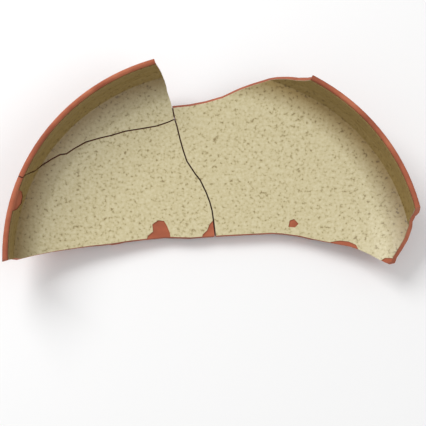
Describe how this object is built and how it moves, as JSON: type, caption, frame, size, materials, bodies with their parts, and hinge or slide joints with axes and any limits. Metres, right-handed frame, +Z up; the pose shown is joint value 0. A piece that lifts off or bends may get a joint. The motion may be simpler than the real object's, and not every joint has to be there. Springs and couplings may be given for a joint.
{
  "type": "dish fragment",
  "caption": "Mended half of a wide, low-footed earthenware dish with an upright wall, glazed inside over incised slip.",
  "frame": {"origin": "under the middle of the piece's box, on the surface that the foot ring rests on", "axes": "+Z up, +X along the fragment's long side, +Y towards the kept rim"},
  "size_m": [0.2694, 0.1402, 0.055],
  "materials": {
    "red_clay": "matt, fired red earthenware",
    "cream_glaze": "clear lead glaze over white slip",
    "adhesive": "aged, dark"
  },
  "bodies": {
    "root": {"sherd_upper_left": "red_clay", "sherd_lower_left": "red_clay", "sherd_right": "red_clay", "glaze_upper_left": "cream_glaze", "glaze_lower_left": "cream_glaze", "glaze_right": "cream_glaze", "adhesive_left": "adhesive", "adhesive_middle": "adhesive", "adhesive_top": "adhesive"}
  },
  "joints": []
}
